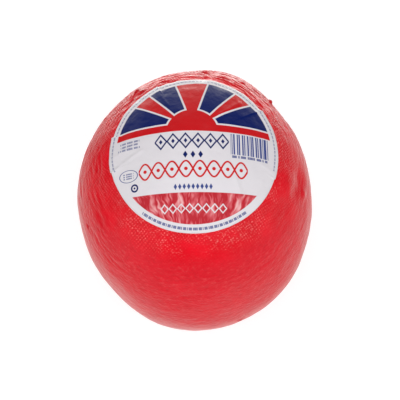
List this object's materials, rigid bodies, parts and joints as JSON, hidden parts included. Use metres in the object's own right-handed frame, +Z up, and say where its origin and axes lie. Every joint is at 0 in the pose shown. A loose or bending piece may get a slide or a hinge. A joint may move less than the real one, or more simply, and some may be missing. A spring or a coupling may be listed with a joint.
{
  "type": "ball of cheese",
  "caption": "Red waxed ball of cheese, slightly oval, resting on a small flat, with a round paper label over its crown.",
  "frame": {"origin": "on the resting plane, under the middle of the ball's bounding box", "axes": "+Z up through the crown that carries the label, +Y towards the top of the label's print, the longest way across the ball, +X to the right of the print"},
  "size_m": [0.1408, 0.1558, 0.1366],
  "materials": {
    "red_wax": "bright red cheese wax, glossy and a little uneven, with the print of the cheesecloth showing through",
    "label_paper": null
  },
  "bodies": {
    "root": {"cheese_ball": "red_wax", "paper_label": "label_paper"}
  },
  "joints": []
}
